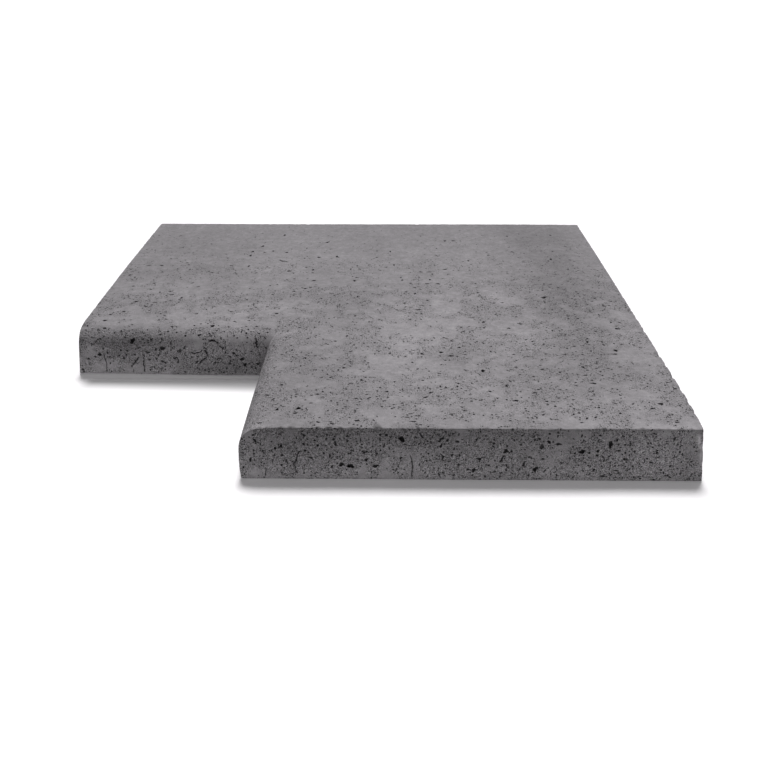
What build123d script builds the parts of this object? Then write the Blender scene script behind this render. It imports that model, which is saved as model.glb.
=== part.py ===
from build123d import *

import os
from math import acos, asin, cos, degrees, isclose, radians, sin, tan

# Pool coping corner stone: one wet-cast concrete piece, in millimetres and degrees.
# In plan it is an L, two straight copings that meet in a mitre at the pool's corner.
# +X runs to the right, +Y to the back and +Z up. The origin is on the underside, below the
# centre of the outer square, and the pool's corner stands in the notch at the front left.

# Plan and thickness
outer_side = 500.0  # each outer side of the square, measured on the underside
coping_width = 330.0  # from an outer side to the foremost line of the nosing facing it
thickness = 40.0

# The mould's draft leans the outer faces in towards the top. Every arris is eased, apart
# from the rim of the underside, which was the open face of the mould
draft_angle = 5.0
arris_radius = 1.2

# Nosing: three arcs, each tangent to the last, from the top face down to the foot
crown_run = 18.0  # how far back from the round the top starts to fall
crown_radius = 170.0
round_radius = 15.0
belly_radius = 140.0  # the nearly upright front
belly_height = 14.0  # height of the foremost line above the underside


def coping_section():
    """Section of a straight coping, with U back from the nosing's foremost line and V up."""
    crown_turn = asin(crown_run / crown_radius)
    crown_fall = crown_radius * (1 - cos(crown_turn))
    round_drop = thickness - belly_height - crown_fall - round_radius * cos(crown_turn)
    round_turn = acos(round_drop / (belly_radius - round_radius))
    foot_turn = radians(90) + asin(belly_height / belly_radius)
    nosing_run = (
        crown_run
        + round_radius * (sin(round_turn) - sin(crown_turn))
        + belly_radius * (1 - sin(round_turn))
    )

    with BuildSketch() as section:
        with BuildLine():
            crown = JernArc(
                start=(nosing_run, thickness),
                tangent=(-1, 0),
                radius=crown_radius,
                arc_size=degrees(crown_turn),
            )
            nose = JernArc(
                start=crown @ 1,
                tangent=crown % 1,
                radius=round_radius,
                arc_size=degrees(round_turn - crown_turn),
            )
            belly = JernArc(
                start=nose @ 1,
                tangent=nose % 1,
                radius=belly_radius,
                arc_size=degrees(foot_turn - round_turn),
            )
            Polyline(belly @ 1, (coping_width, 0), (coping_width, thickness), crown @ 0)
        make_face()
    return section.sketch


def straight_coping(section_plane):
    """One coping as long as the outer side, its section drawn on a plane at its end."""
    return extrude(section_plane * coping_section(), amount=outer_side)


def mould_block():
    """The outer square, drawn in towards the top by the draft."""
    return extrude(Rectangle(outer_side, outer_side), amount=thickness, taper=draft_angle)


def is_on_outer_face(point):
    half_side = outer_side / 2 - point.Z * tan(radians(draft_angle))
    return isclose(max(abs(point.X), abs(point.Y)), half_side, abs_tol=0.001)


def is_eased(edge):
    """True round each outer face and along each foot, but not on the underside's outer rim."""
    bounds_outer_face = all(is_on_outer_face(edge @ share) for share in (0, 0.5, 1))
    bounds_underside = isclose((edge @ 0.5).Z, 0, abs_tol=0.001)
    return bounds_outer_face != bounds_underside


def corner_stone():
    """Both copings joined, so that their nosings meet in a valley at the inner corner."""
    nosing_line = outer_side / 2 - coping_width
    back_arm = straight_coping(
        Plane(origin=(-outer_side / 2, nosing_line, 0), x_dir=(0, 1, 0), z_dir=(1, 0, 0))
    )
    right_arm = straight_coping(
        Plane(origin=(nosing_line, outer_side / 2, 0), x_dir=(1, 0, 0), z_dir=(0, -1, 0))
    )
    stone = (back_arm + right_arm) & mould_block()
    return fillet(stone.edges().filter_by(is_eased), arris_radius)


os.makedirs("parts", exist_ok=True)
export_step(corner_stone(), "parts/coping_corner_stone.step")
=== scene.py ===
import math

import bmesh
import bpy
import numpy as np
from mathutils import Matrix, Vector
from mathutils.geometry import delaunay_2d_cdt


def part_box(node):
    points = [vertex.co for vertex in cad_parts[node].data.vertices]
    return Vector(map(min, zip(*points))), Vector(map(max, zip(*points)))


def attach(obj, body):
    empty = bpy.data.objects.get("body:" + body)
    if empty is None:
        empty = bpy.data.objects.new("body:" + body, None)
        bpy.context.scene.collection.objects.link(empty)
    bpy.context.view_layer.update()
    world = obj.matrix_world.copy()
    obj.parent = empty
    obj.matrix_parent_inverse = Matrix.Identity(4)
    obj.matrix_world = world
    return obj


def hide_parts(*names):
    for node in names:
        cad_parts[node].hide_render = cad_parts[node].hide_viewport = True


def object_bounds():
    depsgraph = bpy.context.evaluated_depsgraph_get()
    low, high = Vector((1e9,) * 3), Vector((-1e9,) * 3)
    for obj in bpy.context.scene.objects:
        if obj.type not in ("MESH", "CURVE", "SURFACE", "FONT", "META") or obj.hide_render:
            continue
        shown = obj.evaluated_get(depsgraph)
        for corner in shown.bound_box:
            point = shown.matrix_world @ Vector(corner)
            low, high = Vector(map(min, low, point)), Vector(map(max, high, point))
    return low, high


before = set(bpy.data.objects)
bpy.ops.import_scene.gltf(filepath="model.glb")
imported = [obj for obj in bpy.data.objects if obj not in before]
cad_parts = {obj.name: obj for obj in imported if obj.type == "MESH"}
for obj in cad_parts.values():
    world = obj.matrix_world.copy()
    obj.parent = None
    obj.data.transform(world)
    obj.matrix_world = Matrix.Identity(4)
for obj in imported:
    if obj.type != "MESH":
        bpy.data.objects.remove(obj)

# Pool coping corner stone in grey wet-cast concrete. The faces that lay against the mould are
# full of air pores, and the arrises have crumbled a little

cadLow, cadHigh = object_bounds()
mm = 1000.0  # lengths here are in mm, and the finished mesh is brought back to metres

# The stone's form. The sizes of the section are the real ones, the rest is how it was cast.
# Waves are pairs of a reach and a height
stone = {
    "node": "coping_corner_stone",
    "slot": "cast_concrete",
    "copingWidth": 330.0,
    "draftAngle": 5.0,
    "crownRun": 18.0,
    "crownRadius": 170.0,
    "roundRadius": 15.0,
    "bellyRadius": 140.0,
    "bellyHeight": 14.0,
    "footRadius": 1.2,
    "arrisRadius": 0.55,
    "arrisWear": 0.35,  # how much that radius comes and goes, as a share
    "arrisWaves": ((30.0, 0.6), (6.0, 0.6)),
    "arrisLimits": (0.5, 2.0),  # the least and the most that it becomes, as a share
    "levelFoot": 0.5,  # so near the underside a worn point keeps its height
    "unevenness": 0.15,  # depth of the slow waves in every face
    "unevenWaves": ((90.0, 0.3), (24.0, 0.15)),
    "trowelling": 0.5,  # depth of the hollows in the underside, the open face of the mould
    "trowelWaves": ((60.0, 0.5), (16.0, 0.35)),
    "trowelMargin": 6.0,  # the rim of the underside that stays flat
    "sharpAngle": 38.0,  # shading is smooth over edges that bend less
    "seed": 41,
}

# Spacing of the mesh points, in mm
spacing = {
    "edge": 1.4,
    "finerOnArcs": 1.2,  # how many times closer the points are down the nosing
    "rowsBesideEdge": (0.35, 0.85, 1.6, 2.8),
    "top": 4.6,
    "underside": 11.0,
    "side": 3.4,
    "track": 1.1,
    "jitter": 0.12,  # how far the inner points are out of place, as a share of their spacing
}

# The room that added points leave to others, as a share of their spacing or of their row's offset
room = {
    "innerToOutline": 0.6,
    "innerToPits": 0.3,
    "innerToRows": 0.5,
    "rowToOutline": 0.7,
    "rowsToPits": 0.4,  # this one in mm
}

halfSide, _, thickness = np.array(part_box(stone["node"])[1]) * mm
draft = math.radians(stone["draftAngle"])
draftSlope = math.tan(draft)
topHalf = halfSide - thickness * draftSlope
nosingLine = halfSide - stone["copingWidth"]  # x and y of the two foremost lines


# Section of the nosing as arcs that run smoothly into each other. Where its normal has turned
# by f from upright, an arc has the point (centreU - radius sin f, centreZ + radius cos f), with
# U counted back from the foremost line and Z up from the underside
def nosingArcs(form):
    names = ("crownRadius", "roundRadius", "bellyRadius", "bellyHeight", "footRadius")
    crown, nose, belly, height, foot = (form[name] for name in names)
    crownTurn = math.asin(form["crownRun"] / crown)
    roundDrop = thickness - height - crown * (1 - math.cos(crownTurn)) - nose * math.cos(crownTurn)
    roundTurn = math.acos(roundDrop / (belly - nose))
    footTurn = math.pi / 2 + math.asin((height - foot) / (belly - foot))
    run = form["crownRun"] + nose * (math.sin(roundTurn) - math.sin(crownTurn))
    run += belly * (1 - math.sin(roundTurn))
    roundU = run - (crown - nose) * math.sin(crownTurn)
    roundZ = thickness - crown + (crown - nose) * math.cos(crownTurn)
    footU = belly - math.sqrt((belly - foot) ** 2 - (height - foot) ** 2)
    return np.array([  # centreU, centreZ, radius, first turn, last turn
        (run, thickness - crown, crown, 0.0, crownTurn),
        (roundU, roundZ, nose, crownTurn, roundTurn),
        (belly, height, belly, roundTurn, footTurn),
        (footU, foot, foot, footTurn, math.pi),
    ])


arcs = nosingArcs(stone)
arcStarts = np.concatenate([[0.0], np.cumsum(arcs[:, 2] * (arcs[:, 4] - arcs[:, 3]))])
sectionLength = arcStarts[-1]
crownLine = nosingLine + arcs[0, 0]  # x and y where the flat top ends
footLine = nosingLine + arcs[3, 0]  # and where the flat underside ends


# Point and turn of the section at a distance down it from the flat top
def sectionAt(distance):
    which = np.clip(np.searchsorted(arcStarts, distance, side="right") - 1, 0, len(arcs) - 1)
    centreU, centreZ, radius, firstTurn, _ = arcs[which].T
    turn = firstTurn + (distance - arcStarts[which]) / radius
    return centreU - radius * np.sin(turn), centreZ + radius * np.cos(turn), turn


# Evenly spaced numbers from start to end, closer together next to an end that is an arris
def stations(start, end, arrisAtStart=False, arrisAtEnd=False):
    rows = np.array(spacing["rowsBesideEdge"])
    length = abs(end - start)
    low = rows[-1] if arrisAtStart else 0.0
    high = length - (rows[-1] if arrisAtEnd else 0.0)
    along = np.linspace(low, high, int(round((high - low) / spacing["edge"])) + 1)
    if arrisAtStart:
        along = np.concatenate([[0.0], rows[:-1], along])
    if arrisAtEnd:
        along = np.concatenate([along, length - rows[-2::-1], [length]])
    return start + along * np.sign(end - start)


# Points down the section: every arc is divided evenly
def sectionStations():
    parts = []
    for low, high in zip(arcStarts[:-1], arcStarts[1:]):
        steps = int(round((high - low) / spacing["edge"] * spacing["finerOnArcs"]))
        parts.append(np.linspace(low, high, max(3, steps), endpoint=False))
    return np.concatenate(parts + [[sectionLength]])


# The points along the edges, which the two faces that meet there share
edges = {
    "section": sectionStations(),
    "arm": stations(-topHalf, crownLine, arrisAtStart=True),
    "armFoot": stations(-halfSide, footLine),
    "shortTop": stations(crownLine, topHalf, arrisAtEnd=True),
    "longTop": stations(-topHalf, topHalf, arrisAtStart=True, arrisAtEnd=True),
    "shortBottom": stations(footLine, halfSide),
    "longBottom": stations(-halfSide, halfSide),
    "upright": stations(0.0, thickness, arrisAtEnd=True),
}
sectionU, sectionZ, _ = sectionAt(edges["section"])
sectionLine = nosingLine + sectionU
uprightReach = halfSide - edges["upright"] * draftSlope


# Joins runs of points end to end into a closed outline in a face's own two coordinates. Each
# run also says whether it is an arris
def joinRuns(*runs):
    points, arris = [], []
    for first, second, isArris in runs:
        first, second = np.broadcast_arrays(first, second)
        points.append(np.column_stack([first, second])[:-1])
        arris.append(np.full(len(first) - 1, isArris))
    return np.vstack(points), np.concatenate(arris)


nosingOutline = joinRuns(  # along the arm, and down the section
    (edges["arm"], 0.0, False),
    (sectionLine, edges["section"], False),
    (edges["armFoot"][::-1], sectionLength, False),
    (-halfSide + sectionZ[::-1] * draftSlope, edges["section"][::-1], True),
)
endOutline = joinRuns(  # along the face, and up
    (edges["shortBottom"], 0.0, False),
    (uprightReach, edges["upright"], True),
    (edges["shortTop"][::-1], thickness, True),
    (sectionLine, sectionZ, True),
)
sideOutline = joinRuns(
    (edges["longBottom"], 0.0, False),
    (uprightReach, edges["upright"], True),
    (edges["longTop"][::-1], thickness, True),
    (-uprightReach[::-1], edges["upright"][::-1], True),
)
topOutline = joinRuns(  # x and y
    (edges["arm"], crownLine, False),
    (crownLine, edges["arm"][::-1], False),
    (edges["shortTop"], -topHalf, True),
    (topHalf, edges["longTop"], True),
    (edges["longTop"][::-1], topHalf, True),
    (-topHalf, edges["shortTop"][::-1], True),
)
undersideOutline = joinRuns(
    (edges["armFoot"], footLine, False),
    (footLine, edges["armFoot"][::-1], False),
    (edges["shortBottom"], -halfSide, False),
    (halfSide, edges["longBottom"], False),
    (edges["longBottom"][::-1], halfSide, False),
    (-halfSide, edges["shortBottom"][::-1], False),
)


# Each face as a function of its two coordinates gives the points, and the outward normals there.
# A level face has its coordinates as x and y
def placeLevel(a, b, height, up):
    return np.column_stack([a, b, np.full_like(a, height)]), np.tile([0.0, 0.0, up], (len(a), 1))


# The section carried along the arm
def placeNosing(a, b, along):
    u, z, turn = sectionAt(b)
    points, normals = np.zeros((len(a), 3)), np.zeros((len(a), 3))
    points[:, along], points[:, 1 - along], points[:, 2] = a, nosingLine + u, z
    normals[:, 1 - along], normals[:, 2] = -np.sin(turn), np.cos(turn)
    return points, normals


# An upright face that leans in by the draft: its reach is half the side less height times slope
def placeSide(a, b, axis, sign):
    points, normals = np.zeros((len(a), 3)), np.zeros((len(a), 3))
    points[:, 1 - axis], points[:, 2] = a, b
    points[:, axis] = sign * (halfSide - b * draftSlope)
    normals[:, axis], normals[:, 2] = sign * math.cos(draft), math.sin(draft)
    return points, normals


faces = {
    "top": (topOutline, lambda a, b: placeLevel(a, b, thickness, 1.0)),
    "leftNosing": (nosingOutline, lambda a, b: placeNosing(a, b, 0)),
    "rightNosing": (nosingOutline, lambda a, b: placeNosing(a, b, 1)),
    "leftEnd": (endOutline, lambda a, b: placeSide(a, b, 0, -1)),
    "frontEnd": (endOutline, lambda a, b: placeSide(a, b, 1, -1)),
    "backSide": (sideOutline, lambda a, b: placeSide(a, b, 1, 1)),
    "rightSide": (sideOutline, lambda a, b: placeSide(a, b, 0, 1)),
    "underside": (undersideOutline, lambda a, b: placeLevel(a, b, 0.0, -1.0)),
}

# Scattered pits. Count is for each 100 cm2, least and most are radii, a higher falloff means
# fewer large ones, and patchy is how much they gather
countArea = 1e4  # those 100 cm2 in mm2
castFacePits = {"count": 1250, "least": 0.38, "most": 2.1, "falloff": 3.2, "patchy": 0.92}
pits = {
    "top": {"count": 390, "least": 0.48, "most": 1.3, "falloff": 3.2, "patchy": 0.97},
    "leftNosing": castFacePits | {"count": 1050, "most": 1.2},
    "rightNosing": castFacePits | {"count": 480, "most": 1.4},
    "leftEnd": castFacePits | {"count": 600},
    "frontEnd": castFacePits | {"most": 1.1},
    "backSide": castFacePits | {"count": 480},
    "rightSide": castFacePits | {"count": 480},
    "underside": {"count": 5, "least": 0.9, "most": 3.0, "falloff": 2.2, "patchy": 0.5},
}

# What every pit has
pitForm = {
    "stretch": (1.0, 2.6),  # length over width
    "depth": (0.3, 0.62),  # as a share of the width, and the chosen ones have the second
    "ragged": ((2, 0.13), (3, 0.16), (4, 0.11), (5, 0.09)),  # waves round the rim, their height
    "lean": 0.18,  # how far its middle strays, as a share of the width
    "reach": 0.62,  # a ragged pit reaches this share of its length from its place
    "apart": (1.1, 0.12),  # gap to the next: this share of their reaches, and so many mm
    "toLines": 0.4,  # mm from an outline or a track
    # darkness: painted shade in the pit, more the deeper it is
    "darkness": (2.4, 0.5),  # the first times the depth's share, less the second
}

# Cracks, and the tracks of bubbles that crept along the mould
trackForm = {
    "wander": 0.15,  # as a share of the width
    "width": (0.25, 1.4),  # how it comes and goes
    # darkness: painted shade along the track's floor
    "darkness": (0.3, 0.9),
}

# The pits that stand out, in the coordinates of their face: place, length, width, and heading
# of the length in degrees
largePits = {
    "frontEnd": [
        (-67.9, 30, 3.6, 2, 120), (-53.8, 24.1, 2.4, 2.2, 0), (-49.6, 25.8, 3, 2, 80),
        (-34, 27.5, 2.2, 1.9, 0), (-71.6, 15, 4, 1.8, 75), (-11.4, 27.1, 3, 1.8, 110),
        (-15.6, 18.5, 3.6, 1.6, 95), (-7.6, 11.6, 3.8, 3.2, 85), (-1, 10.4, 5, 3.8, 160),
        (16.8, 10.5, 5, 2.2, 5), (10.1, 15.3, 2.8, 2.2, 90), (24.4, 34.8, 2.6, 1.9, 10),
        (35.3, 31.5, 5, 4.2, 130), (34.9, 17.1, 2.6, 1.6, 0), (-26.1, 30.3, 2, 1.6, 0),
        (63, 26.6, 3, 2, 60), (-28.6, 16.6, 2.6, 1.8, 150), (-33, 22.4, 2.6, 1.6, 10),
        (88, 31.5, 2.4, 1.6, 90), (90.8, 16.5, 2.8, 2.3, 60), (86.8, 7.8, 3.4, 2.8, 100),
        (82.6, 8.1, 2.4, 2, 0), (108.8, 22.9, 3.8, 3.2, 60), (113, 22.6, 2, 1.8, 0),
        (71, 19.5, 2.6, 1.9, 60), (122.1, 12.5, 4.2, 1.8, 85), (130.5, 9, 4.2, 3.2, 30),
        (139, 30, 2.9, 2.2, 160), (145.8, 28.6, 4, 1.9, 170), (139, 36.4, 2.4, 1.6, 0),
        (161.6, 34.9, 2.6, 1.7, 75), (162.5, 22.6, 4.8, 3.2, 0), (173.8, 23.3, 2.5, 2.4, 0),
        (167.9, 21.9, 2, 1.9, 0), (182.2, 28.3, 5.6, 3.4, 98), (172.4, 8.6, 2.6, 2, 20),
        (178.6, 3.6, 4.2, 1.6, 0), (192.4, 28.1, 2.4, 1.4, 0), (212.1, 14.6, 3, 1.7, 0),
        (226.8, 32.8, 3.8, 1.4, 65), (215.5, 23.8, 2.2, 1.4, 0), (135.4, 16.9, 2.8, 1.5, 15),
    ],
    "leftNosing": [
        (-199.3, 32.4, 5.4, 4.2, 135), (-228.8, 4.4, 4.6, 2.6, 160), (-241.8, 15.4, 3.4, 1.9, 80),
        (-225.5, 19.4, 3.4, 2.4, 10), (-173, 38.8, 5.6, 2.8, 5), (-182.8, 31.4, 2.4, 2, 30),
        (-160.8, 24.4, 2, 1.8, 0), (-130.8, 14.6, 4.4, 3.4, 20), (-110.2, 43, 3.2, 2.2, 20),
        (-103.2, 48.2, 3.9, 3.2, 150), (-101, 53.3, 3.6, 3, 0), (-230.2, 45, 3.8, 3, 30),
        (-240.5, 49.2, 2.8, 2, 0), (-221.4, 53.4, 2.4, 1.6, 90), (-210.2, 23.2, 2, 1.7, 90),
        (-241.8, 22, 2.2, 1.6, 0), (-140.5, 27, 3.6, 2.2, 160), (-125.8, 22.2, 2.2, 1.9, 0),
        (-132, 25.2, 2, 1.8, 0), (-130, 27.8, 1.8, 1.6, 0), (-121.5, 29.8, 2.4, 1.9, 80),
        (-110, 27.6, 1.9, 1.8, 0), (-107.2, 29.4, 1.9, 1.6, 0), (-112.8, 5.2, 2.8, 2, 0),
        (-100.2, 3.2, 2.6, 2, 0), (-98.2, 20.4, 2, 1.7, 0), (-104, 23.2, 2.8, 1.7, 90),
        (-99.5, 24.8, 2.8, 1.8, 80), (-98.2, 29.2, 1.9, 1.6, 0), (-88.2, 25.2, 1.9, 1.7, 0),
        (-81, 23.8, 1.9, 1.7, 0), (-90, 52.6, 2.6, 2.2, 0), (-210.5, 41, 2.6, 1.8, 80),
        (-204.5, 41.4, 2.2, 1.8, 40), (-208.5, 48.4, 2.8, 2, 60), (-212.2, 45.6, 2, 1.6, 0),
        (-205.8, 45, 1.8, 1.6, 0), (-166.3, 16.3, 3, 2, 0), (-147, 13.9, 2.2, 1.7, 0),
    ],
    "rightNosing": [
        (-219, 6.8, 3.6, 2.2, 0), (-195, 16.9, 4.4, 2.2, 60), (-202.5, 11.8, 2.8, 1.6, 90),
    ],
    "top": [
        (-96, 202.5, 5.4, 2.8, 90), (-51, 125, 4.4, 3.4, 0), (-32, 127.5, 5.4, 2.4, 90),
        (-124, 143, 5, 2.8, 80), (25, 145, 4.8, 2.2, 90), (107.5, 115, 3.8, 2, 90),
        (195, 121, 5.6, 2.2, 85), (-67.5, 22.5, 3.2, 2.4, 0), (-225, 35, 3, 2.2, 0),
        (-186, 21, 3.4, 1.8, 60), (-182, 12.5, 3.2, 1.8, 60), (-212, -6, 4, 3, 30),
        (-194, -8.5, 4.8, 1.5, 170), (-185, -6.6, 4, 1.5, 5), (39, -7.5, 3.2, 2.2, 0),
        (51.5, -23.5, 6.4, 2.2, 0), (109, -52.5, 4.8, 2.4, 60), (110, 21, 3, 2.2, 0),
        (122.5, -6, 4.6, 1.5, 0), (130.5, -5, 3.6, 1.5, 10), (68.5, -117.5, 4.2, 3, 20),
        (76.3, -124.6, 4.4, 2.8, 0), (84, -107.5, 3.4, 2, 0), (100, -152.5, 4.6, 3.2, 90),
        (130, -66, 3.2, 2.2, 20), (224, -66, 5, 3, 160), (192.6, -95, 4.6, 2.2, 75),
        (193.8, -88, 3, 1.8, 75), (212.5, -112.5, 5.2, 2.8, 120), (211, -119.5, 3, 2.4, 0),
        (180, -145, 4, 2.2, 110), (182.6, -174, 4.6, 2.6, 160), (179, -159.6, 3.6, 1.8, 0),
        (120, -203.5, 4.2, 3, 20), (-40, -217.5, 4.8, 3.2, 30), (-31.5, -209, 3, 1.6, 0),
        (225, -207.5, 4.6, 3.2, 0), (217.5, -215, 3.2, 2, 0), (230, -236, 3.4, 2, 0),
        (57.5, -191, 3.6, 2, 20), (-227.5, -38.5, 3.2, 2.4, 0), (163, -237, 3.4, 1.5, 170),
        (-77.5, -34, 3.8, 3, 0), (-88, -18, 3, 1.8, 0), (147, -150, 2.8, 1.5, 0),
        (-115.5, 162, 5.4, 2.6, 90), (-124.5, 130, 4.6, 2.8, 90), (-121.5, 95.5, 4.4, 2.6, 90),
        (-102, 145, 4, 2.4, 90), (-87, 140.5, 3.8, 2.8, 0), (-78, 80.5, 4.4, 3.2, 0),
        (-211, 96, 4, 3, 0), (-236.5, 66.5, 3.6, 2.4, 90), (-200.5, -18, 4, 2.2, 160),
        (-45, 177, 6, 3, 60), (-54, 84.5, 4.6, 2.4, 90), (-50.5, 52.5, 4, 2.8, 0),
        (-10, 52.5, 4.4, 2.8, 90), (-8, 62.5, 4.8, 1.8, 10), (-57, 30, 3.4, 2.4, 0),
        (29, 100.5, 5, 2, 90), (37.5, 55.5, 4.6, 2.4, 90), (56.5, 79.5, 4.4, 2.2, 0),
        (65, 79.5, 5, 2, 0), (81.5, 87.5, 5, 2.6, 20), (65, 57, 3.6, 2.4, 90), (62, 45, 5, 2.2, 10),
        (72.5, 45, 4, 2.8, 0), (49.5, 34.5, 3, 2.2, 0), (49.5, 18, 3.4, 2.2, 90),
        (95.5, 182.5, 4.4, 2.6, 0), (86, 182.5, 4.6, 3, 90), (53.5, -198.5, 3.6, 2.2, 30),
        (-20.5, -96, 3, 2.2, 0), (-11, -85, 3, 2.2, 60), (3.5, -235.5, 4.6, 1.8, 0),
        (43.5, -236.5, 5.2, 1.6, 0), (-24, -238, 3.6, 1.8, 170),
    ],
}

# The tracks that stand out: width, and the places they pass
tracks = {
    "top": [(2.6, (-92.5, 116), (-87, 111), (-82, 109.5))],
    "frontEnd": [
        (1.5, (-35.8, 22.8), (-38, 20.8), (-39, 16.2), (-41, 11.6), (-39.8, 6.6), (-39, 4.5)),
        (1.7, (-34, 38.2), (-35.5, 36.2)), (1.8, (-36.2, 35.2), (-32.8, 34.6), (-35, 31.8)),
        (2.2, (-15.5, 8.8), (-12.5, 10.8)), (1.2, (-61, 8.2), (-61.8, 1.8)),
        (1.6, (6.5, 32.8), (5.8, 29.2)), (2, (23.8, 28.8), (21.8, 24.2)),
        (1.6, (41.5, 19.8), (42.8, 14.2), (43.5, 10.2), (42.5, 5.6), (42.8, 1.8)),
        (1.8, (46.2, 38.2), (48.5, 35.4), (50.8, 32.2)), (2.6, (60, 30.4), (65.5, 33.4)),
        (1.7, (62.5, 20.2), (64.8, 19.6), (63.8, 14.4)),
        (2.4, (108.5, 19.6), (106.8, 17.2), (105, 13.8)),
        (1.7, (162, 28.4), (162.5, 31.6), (165.5, 30.4)),
        (1.3, (176.2, 20.6), (177.8, 19.4), (179.5, 17), (178, 14.4)), (1.5, (171, 6.4), (168, 4.2)),
        (1.7, (184.8, 8.6), (190.2, 7.6)), (1.4, (186.7, 28.2), (189.2, 28.4)),
        (1.6, (186.4, 23), (189.6, 23.6)), (2.2, (72.8, 29.4), (74.2, 30.4), (76.2, 28.8)),
        (1.4, (96.2, 29.4), (97.5, 30.4), (99.2, 29.4)),
    ],
    "leftNosing": [
        (1.5, (-226.8, 45.8), (-225.2, 49.8), (-224.8, 53.8), (-225.2, 62.4)),
        (2.2, (-194.6, 46.8), (-199.2, 52.2), (-202.8, 57.2)), (1, (-200.8, 58.2), (-201, 62.4)),
        (1.7, (-191, 43.8), (-190.2, 48.2), (-191.5, 53.6), (-190.8, 57.6), (-191.2, 62.4)),
        (1.7, (-172.8, 28.6), (-173.5, 34.2)), (1.8, (-165.2, 31.4), (-165.2, 37.4)),
        (2.2, (-176.2, 50.4), (-170.4, 52.9)), (1.2, (-174.8, 55.4), (-176, 61)),
        (2.2, (-164.8, 48), (-160.6, 47.2), (-159.2, 49.8), (-160.6, 53)),
        (1.6, (-149, 41.8), (-144, 43.4), (-139.5, 41.8), (-137.4, 39.6)),
        (2.2, (-136, 37.2), (-134.6, 42.4), (-133.2, 45.8), (-138.5, 49.2), (-140.8, 53.2)),
        (2.2, (-132.5, 32.8), (-129.5, 31.5), (-126.2, 32.2), (-122.8, 34.4)),
        (1.9, (-123.4, 36.8), (-120.8, 37), (-119.8, 40)), (2, (-126.4, 48.8), (-121.2, 46.8)),
        (2.6, (-91, 28.4), (-89.8, 34.2), (-88.5, 39.4)), (2.2, (-115, 44.6), (-113, 48.2)),
    ],
}

# Bites out of the arrises where a pore lay in the edge or a knock has crumbled it. The chosen ones
# have a place, a reach along the edge, the radius that they add there, and a darkness, which is
# painted shade in the notch and below nothing where the break is fresh and paler
bites = {
    "count": 170,
    "least": 0.6,
    "most": 1.8,
    "added": (0.35, 0.8),  # the radius that a scattered one adds, as a share of its reach
    "fade": 0.8,  # mm past the reach until it is gone
    "ragged": (2.2, 0.25),  # reach and height of the waves in them
    "raggedLimits": (0.3, 1.5),
    "darkness": 0.15,
    "darkLimits": (-0.4, 0.75),  # where several meet
    "aboveUnderside": 4.0,
    "chosen": [
        ((246, -22, 40), 2.4, 1.4, 0.1), ((246, -41, 40), 3.6, 1.4, 0.1),
        ((246, -70, 40), 3, 1.8, 0.1), ((246, -120, 40), 4, 2.2, 0.1), ((246, -140, 40), 3, 1.8, 0.1),
        ((246, -160, 40), 4, 2.4, 0.1), ((246, -184, 40), 4.6, 2.4, 0.1),
        ((246, -205, 40), 3.4, 2, 0.1), ((246, -222, 40), 3, 1.4, 0.1),
        ((18.6, -246, 40), 2.8, 2.4, 0.5), ((-16, -246, 40), 1.6, 1.8, 0.6),
        ((-8, -246, 40), 1.5, 1.6, 0.6), ((-24, -246, 40), 1.2, 1.4, 0.5),
        ((58, -246, 40), 1.2, 0.8, 0.3), ((147, -246, 40), 0.9, 0.8, 0.4),
        ((222, -246, 40), 1.4, 0.6, 0.2), ((238, -246, 40), 1, 0.9, 0.4),
        ((231, -246, 40), 0.9, 0.8, 0.4), ((-50, -246, 40), 1, 1.2, 0.5),
        ((-43, -246, 40), 1, 1.2, 0.5), ((47, -246, 40), 1, 1.2, 0.5),
        ((177, -246, 40), 0.9, 0.9, 0.5), ((204, -246, 40), 1, 0.8, 0.4),
        ((85, -246, 40), 0.9, 0.8, 0.4), ((246, -246, 37), 2.4, 1.2, 0.2),
        ((248, -248, 27), 3, 1, -0.4), ((249, -249, 12), 3, 1, -0.2), ((-246, -62, 39), 2.4, 1.4, 0.4),
        ((-247, -78, 32), 2, 1.2, 0.4),
    ],
}
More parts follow.
